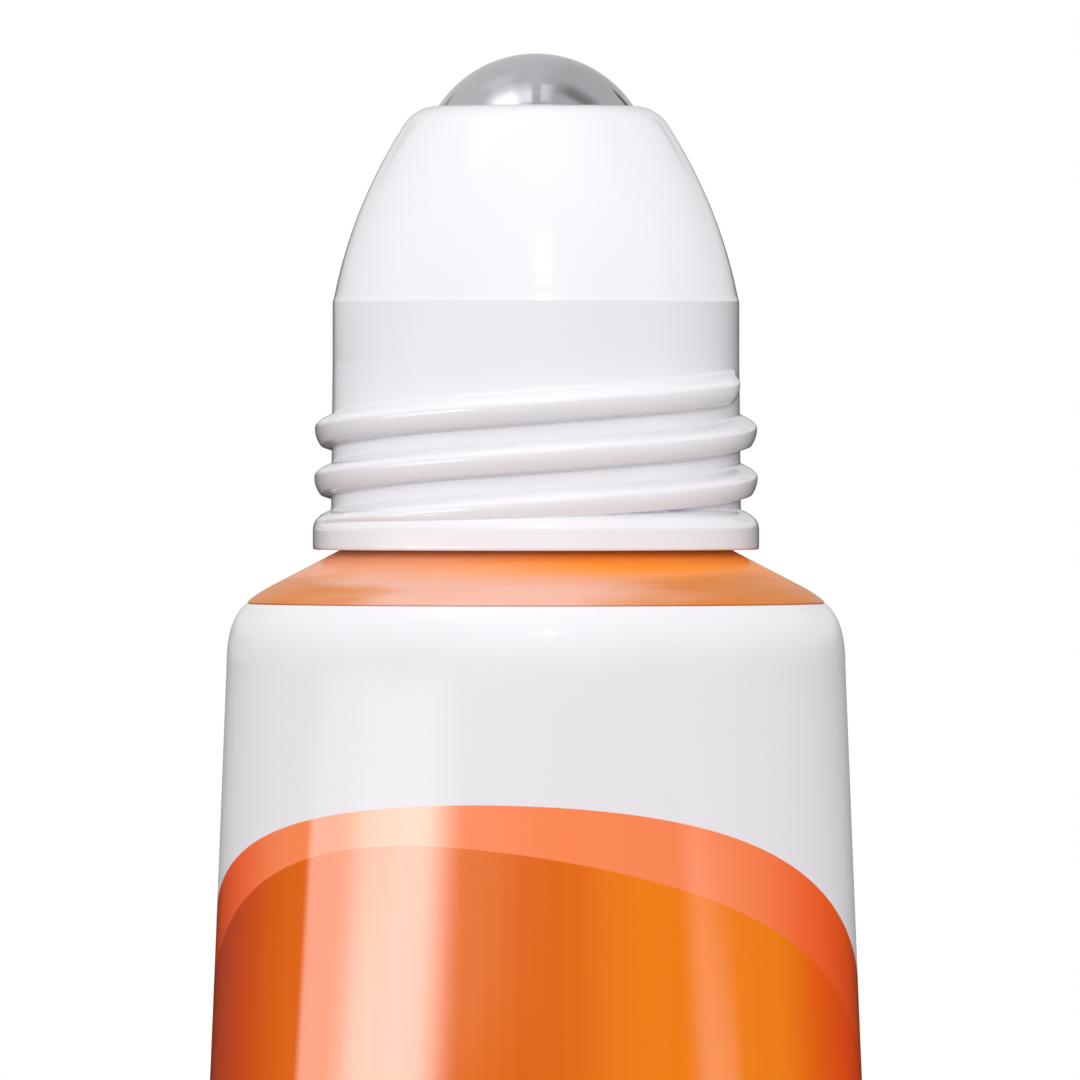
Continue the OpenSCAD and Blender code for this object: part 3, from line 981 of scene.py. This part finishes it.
# Panels that the gloss mirrors: strength, then (channel, from, to, soft from, soft to), where a
# panel fades over the soft width outside each limit. Angles are in degrees, and azimuth 0 is the
# front. A negative strength is a dark flag in front of the light ones.
MIRRORED = [
    (5.4, [("azimuth", -50, -42, 26, 18), ("z", -0.5, -0.08, 0.2, 0.07)]),
    (2.5, [("azimuth", -86, -66, 4, 15), ("z", -0.5, -0.03, 0.2, 0.03)]),
    (0.4, [("azimuth", -60, -25, 20, 35), ("z", -0.5, -0.08, 0.2, 0.07)]),
    (1.0, [("azimuth", 60, 68, 10, 7), ("z", -0.5, -0.07, 0.2, 0.02)]),
    (0.55, [("azimuth", -150, -96, 20, 14), ("z", 0.012, 0.04, 0.016, 0.03)]),
    (0.04, [("azimuth", -60, 70, 20, 40), ("z", -1, 0.6, 0.2, 0.2)]),
    (0.5, [("z", 0.22, 2, 0.12, 1)]),
    (0.42, [("y", 0.3, 2, 0.3, 1), ("z", 0.1, 0.12, 0.05, 0.12)]),
    (0.1, [("x", -2, -0.02, 1, 0.3), ("y", -0.05, 2, 0.3, 1), ("z", 0.3, 2, 0.3, 1)]),
    (0.14, [("x", -0.42, -0.33, 0.14, 0.16), ("y", 0.15, 0.3, 0.15, 0.25), ("z", 0.3, 2, 0.1, 1)]),
    (-0.27, [("x", 0.44, 0.6, 0.28, 0.3), ("y", 0, 0.04, 0.17, 0.3), ("z", 0.4, 2, 0.2, 1)]),
    (0.55, [("x", -0.47, -0.09, 0.2, 0.07), ("y", -0.3, -0.25, 0.1, 0.45), ("z", 0.5, 2, 0.1, 1)]),
    (0.5, [("x", -0.47, -0.33, 0.2, 0.14), ("y", -0.3, -0.25, 0.1, 0.45), ("z", 0.5, 2, 0.1, 1)]),
    (0.26, [("x", 0.07, 0.12, 0.02, 0.13), ("y", -0.27, 0.03, 0.1, 0.08), ("z", 0.5, 2, 0.1, 1)]),
    (-0.4, [("azimuth", 149, 153.5, 2, 2), ("z", 0.3, 0.42, 0.04, 0.04)]),
    (-0.25, [("azimuth", -154, -147, 2, 2), ("z", 0.28, 0.38, 0.04, 0.04)]),
    (2.4, [("azimuth", 1, 9, 1, 1), ("elevation", 26, 37, 1, 2)]),
    (4.0, [("azimuth", 2, 8, 1.5, 1.5), ("elevation", 29, 33, 2, 2)]),
]
STUDIO_WALL = (0.012, 0.012, 0.012)
WHITE = (1.0, 1.0, 1.0)
BLACK = (0.0, 0.0, 0.0)


def studio_world(settings):
    """Plain white to the camera, an even low light, and painted panels for the gloss."""
    world = bpy.data.worlds.new("studio")
    bpy.context.scene.world = world
    world.use_nodes = True
    world.cycles.sampling_method = "NONE"
    maker = NodeMaker(world.node_tree)

    def background(colour, strength=1.0):
        return maker.fill("ShaderNodeBackground", colour, strength)

    way = maker.add("ShaderNodeTexCoord").outputs["Generated"]
    x, y, z = maker.split(maker.fill("ShaderNodeVectorMath", way, operation="NORMALIZE"))
    degrees = 180 / math.pi
    channels = {"azimuth": maker.math("ARCTAN2", x, y * -1.0) * degrees,
                "elevation": maker.math("ARCSINE", z) * degrees, "x": x, "y": y, "z": z}
    glow = 0.0
    for strength, limits in MIRRORED:
        panel = strength
        for channel, low, high, soft_low, soft_high in limits:
            value = channels[channel]
            panel = (panel * maker.ramp(value, low - soft_low, low)
                     * maker.ramp(value, high, high + soft_high, 1.0, 0.0))
        glow = glow + panel

    mirrored = maker.fill("ShaderNodeAddShader", background(STUDIO_WALL),
                          background(WHITE, maker.positive(glow)))
    even = background(WHITE, settings.ambience * maker.ramp(z, -0.8, 0.8, 0.85, 1.15))
    path = maker.add("ShaderNodeLightPath").outputs
    shiny = maker.math("MAXIMUM", path["Is Glossy Ray"], path["Is Transmission Ray"])
    seen = maker.fill("ShaderNodeMixShader", shiny, even, mirrored)
    seen = maker.fill("ShaderNodeMixShader", path["Is Camera Ray"], seen, background(WHITE))
    maker.named("ShaderNodeOutputWorld", Surface=seen)


# Lamps: name, place, size, and the setting for their power with the share of it that they take.
LAMPS = (
    ("front", (0, -1.25, 0.42), (1.6, 0.8), "front_power", 1),
    ("left", (-1.15, -0.35, 0.5), (0.5, 0.8), "side_power", 1),
    ("right", (1.15, -0.35, 0.5), (0.5, 0.8), "side_power", 0.84),
    ("top", (0, -0.2, 1.25), (0.8, 0.8), "top_power", 1),
    ("back", (0, 1.25, 0.5), (1.2, 0.8), "back_power", 1),
    ("back_left", (-1.0, 0.9, 0.5), (0.5, 0.8), "back_power", 0.35),
    ("back_right", (1.0, 0.9, 0.5), (0.5, 0.8), "back_power", 0.35),
)
LAMP_AIM = Vector((0, 0, 0.09))
FLOOR_RADIUS = 0.78


def soft_lamp(name, place, size, power):
    """A large lamp that lights the object and doesn't show in its gloss."""
    data = bpy.data.lights.new(name, "AREA")
    data.shape = "RECTANGLE"
    data.size, data.size_y = size
    data.energy = power
    lamp = in_scene(name, data)
    lamp.location = place
    lamp.rotation_euler = (LAMP_AIM - Vector(place)).to_track_quat("-Z", "Y").to_euler()
    lamp.visible_glossy = lamp.visible_camera = lamp.visible_transmission = False


def floor_material(colours):
    """Pale floor that fades to the white background at its rim. The gloss sees it dark and the
    object gets little light from it, as over a flagged table."""
    material, maker = new_material("pale_floor")
    place = maker.object_place()
    x, y, _ = maker.split(place)
    rim = maker.ramp(maker.radius(x, y), 0.2, 0.72)
    grain = maker.noise(place, 60.0, 2.0)
    path = maker.add("ShaderNodeLightPath").outputs
    seen = maker.blend(maker.ramp(grain, 0.3, 0.7), darker(colours.floor, 0.985), colours.floor)
    colour = maker.blend(path["Is Camera Ray"], darker(colours.floor, 0.3), seen)
    shader = maker.named("ShaderNodeBsdfPrincipled", Base_Color=colour, Roughness=0.6)
    dark = maker.fill("ShaderNodeEmission", STUDIO_WALL)
    dimmed = maker.fill("ShaderNodeMixShader", maker.math("MULTIPLY", path["Is Glossy Ray"], 0.9),
                        shader.outputs[0], dark)
    faded = maker.fill("ShaderNodeMixShader", rim * path["Is Camera Ray"], dimmed,
                       maker.fill("ShaderNodeEmission", WHITE))
    maker.named("ShaderNodeOutputMaterial", Surface=faded)
    return material


class ROLLON_OT_studio(Operator):
    """Set up the floor, the lamps, the world and the camera"""

    bl_idname = "rollon.studio"
    bl_label = "Studio"

    def execute(self, context):
        scene = context.scene
        settings = scene.rollon_studio
        scene.view_settings.view_transform = "Standard"
        work = bmesh.new()
        bmesh.ops.create_circle(work, cap_ends=True, radius=FLOOR_RADIUS, segments=128)
        mesh = bpy.data.meshes.new("studio_floor")
        work.to_mesh(mesh)
        work.free()
        mesh.materials.append(floor_material(scene.rollon_colours))
        in_scene("studio_floor", mesh)
        studio_world(settings)
        for name, place, size, key, part in LAMPS:
            soft_lamp(name, place, size, getattr(settings, key) * part)
        data = bpy.data.cameras.new("camera")
        data.lens = settings.lens
        camera = in_scene("camera", data)
        camera.location = settings.camera_place
        camera.rotation_euler = (math.pi / 2 - settings.camera_tilt, 0, 0)
        scene.camera = camera
        return {"FINISHED"}


PIECES = (ROLLON_OT_printed_sleeve, ROLLON_OT_orange_shoulder, ROLLON_OT_roller_head,
          ROLLON_OT_ball_seat, ROLLON_OT_steel_ball, ROLLON_OT_studio)
GROUPS = {"rollon_tube": TubeSizes, "rollon_head": HeadSizes, "rollon_colours": PrintColours,
          "rollon_studio": StudioSettings}


class ROLLON_PT_panel(Panel):
    """Lists the sizes, the colours and the steps."""

    bl_label = "Roll-on tube"
    bl_idname = "ROLLON_PT_panel"
    bl_space_type = "VIEW_3D"
    bl_region_type = "UI"
    bl_category = "Roll-on Tube"

    def draw(self, context):
        for key in GROUPS:
            group = getattr(context.scene, key)
            box = self.layout.box()
            for name in group.__annotations__:
                box.prop(group, name)
        for piece in PIECES:
            self.layout.operator(piece.bl_idname)


CLASSES = (*GROUPS.values(), *PIECES, ROLLON_PT_panel)


def register():
    for cls in CLASSES:
        bpy.utils.register_class(cls)
    for key, cls in GROUPS.items():
        setattr(bpy.types.Scene, key, PointerProperty(type=cls))


def unregister():
    for key in GROUPS:
        delattr(bpy.types.Scene, key)
    for cls in reversed(CLASSES):
        bpy.utils.unregister_class(cls)


def main():
    register()
    for piece in PIECES:
        group, name = piece.bl_idname.split(".")
        getattr(getattr(bpy.ops, group), name)()


if __name__ == "__main__":
    main()
